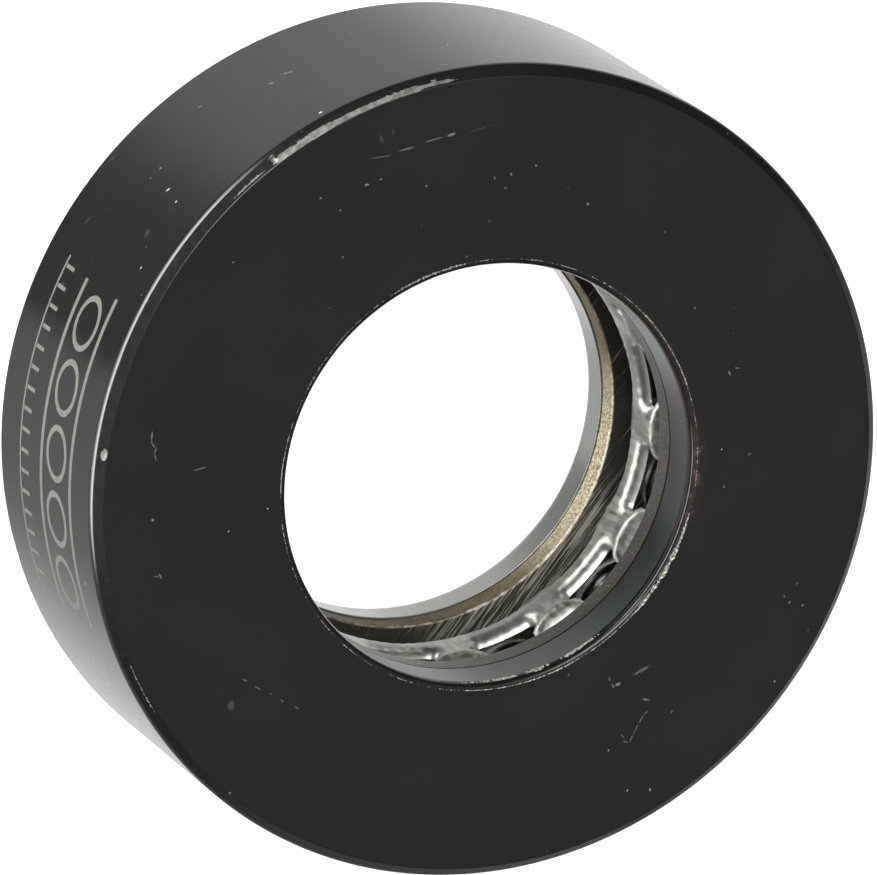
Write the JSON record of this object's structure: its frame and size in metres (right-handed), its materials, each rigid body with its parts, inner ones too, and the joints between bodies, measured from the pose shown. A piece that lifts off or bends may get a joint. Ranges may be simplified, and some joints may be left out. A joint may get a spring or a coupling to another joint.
{
  "type": "thrust ball bearing",
  "caption": "Housed thrust ball bearing: black steel cup, bare ground races, caged steel balls and a rear carrier that turns under axial load.",
  "frame": {"origin": "centre of the rear face of the carrier, on the spindle axis", "axes": "+Z along the spindle axis, out of the front face of the housing; +X and +Y radial"},
  "size_m": [0.047, 0.047, 0.016],
  "materials": {
    "black_oxide": "black-oxide ground steel, satin, worn bright at the edges",
    "ground_steel": "bare hardened steel, ground flat, faint brown tint",
    "pressed_steel": "pressed low-carbon sheet steel, rubbed bright",
    "ball_steel": "polished chrome-steel balls",
    "spring_steel": "phosphated spring steel"
  },
  "bodies": {
    "housing": {"housing": "black_oxide", "front_race": "ground_steel", "snap_ring": "spring_steel"},
    "carrier": {"rear_carrier": "black_oxide", "rear_race": "ground_steel"},
    "cage": {"ball_cage": "pressed_steel"},
    "ball_01": {"ball_01": "ball_steel"},
    "ball_02": {"ball_02": "ball_steel"},
    "ball_03": {"ball_03": "ball_steel"},
    "ball_04": {"ball_04": "ball_steel"},
    "ball_05": {"ball_05": "ball_steel"},
    "ball_06": {"ball_06": "ball_steel"},
    "ball_07": {"ball_07": "ball_steel"},
    "ball_08": {"ball_08": "ball_steel"},
    "ball_09": {"ball_09": "ball_steel"},
    "ball_10": {"ball_10": "ball_steel"},
    "ball_11": {"ball_11": "ball_steel"},
    "ball_12": {"ball_12": "ball_steel"},
    "ball_13": {"ball_13": "ball_steel"}
  },
  "joints": [
    {"name": "carrier_spin", "type": "hinge", "parent": "housing", "child": "carrier", "pos_m": [0, 0, 0], "axis": [0, 0, 1], "continuous": true},
    {"name": "cage_spin", "type": "hinge", "parent": "housing", "child": "cage", "pos_m": [0, 0, 0], "axis": [0, 0, 1], "continuous": true},
    {"name": "ball_01_roll", "type": "hinge", "parent": "cage", "child": "ball_01", "pos_m": [0.01729, 0.00045, 0.00725], "axis": [0.9997, 0.0262, 0], "continuous": true},
    {"name": "ball_02_roll", "type": "hinge", "parent": "cage", "child": "ball_02", "pos_m": [0.0151, 0.00844, 0.00725], "axis": [0.873, 0.4877, 0], "continuous": true},
    {"name": "ball_03_roll", "type": "hinge", "parent": "cage", "child": "ball_03", "pos_m": [0.00945, 0.01449, 0.00725], "axis": [0.5463, 0.8376, 0], "continuous": true},
    {"name": "ball_04_roll", "type": "hinge", "parent": "cage", "child": "ball_04", "pos_m": [0.00164, 0.01722, 0.00725], "axis": [0.0945, 0.9955, 0], "continuous": true},
    {"name": "ball_05_roll", "type": "hinge", "parent": "cage", "child": "ball_05", "pos_m": [-0.00656, 0.01601, 0.00725], "axis": [-0.379, 0.9254, 0], "continuous": true},
    {"name": "ball_06_roll", "type": "hinge", "parent": "cage", "child": "ball_06", "pos_m": [-0.01325, 0.01113, 0.00725], "axis": [-0.7656, 0.6433, 0], "continuous": true},
    {"name": "ball_07_roll", "type": "hinge", "parent": "cage", "child": "ball_07", "pos_m": [-0.0169, 0.0037, 0.00725], "axis": [-0.9769, 0.2138, 0], "continuous": true},
    {"name": "ball_08_roll", "type": "hinge", "parent": "cage", "child": "ball_08", "pos_m": [-0.01668, -0.00458, 0.00725], "axis": [-0.9643, -0.2646, 0], "continuous": true},
    {"name": "ball_09_roll", "type": "hinge", "parent": "cage", "child": "ball_09", "pos_m": [-0.01264, -0.01181, 0.00725], "axis": [-0.7309, -0.6825, 0], "continuous": true},
    {"name": "ball_10_roll", "type": "hinge", "parent": "cage", "child": "ball_10", "pos_m": [-0.00571, -0.01633, 0.00725], "axis": [-0.33, -0.944, 0], "continuous": true},
    {"name": "ball_11_roll", "type": "hinge", "parent": "cage", "child": "ball_11", "pos_m": [0.00253, -0.01711, 0.00725], "axis": [0.1465, -0.9892, 0], "continuous": true},
    {"name": "ball_12_roll", "type": "hinge", "parent": "cage", "child": "ball_12", "pos_m": [0.0102, -0.01398, 0.00725], "axis": [0.5894, -0.8078, 0], "continuous": true},
    {"name": "ball_13_roll", "type": "hinge", "parent": "cage", "child": "ball_13", "pos_m": [0.01552, -0.00764, 0.00725], "axis": [0.8973, -0.4414, 0], "continuous": true}
  ],
  "couplings": [
    {"joint": "cage_spin", "follows": "carrier_spin", "ratio": 0.5},
    {"joint": "ball_01_roll", "follows": "carrier_spin", "ratio": 2.3067},
    {"joint": "ball_02_roll", "follows": "carrier_spin", "ratio": 2.3067},
    {"joint": "ball_03_roll", "follows": "carrier_spin", "ratio": 2.3067},
    {"joint": "ball_04_roll", "follows": "carrier_spin", "ratio": 2.3067},
    {"joint": "ball_05_roll", "follows": "carrier_spin", "ratio": 2.3067},
    {"joint": "ball_06_roll", "follows": "carrier_spin", "ratio": 2.3067},
    {"joint": "ball_07_roll", "follows": "carrier_spin", "ratio": 2.3067},
    {"joint": "ball_08_roll", "follows": "carrier_spin", "ratio": 2.3067},
    {"joint": "ball_09_roll", "follows": "carrier_spin", "ratio": 2.3067},
    {"joint": "ball_10_roll", "follows": "carrier_spin", "ratio": 2.3067},
    {"joint": "ball_11_roll", "follows": "carrier_spin", "ratio": 2.3067},
    {"joint": "ball_12_roll", "follows": "carrier_spin", "ratio": 2.3067},
    {"joint": "ball_13_roll", "follows": "carrier_spin", "ratio": 2.3067}
  ]
}
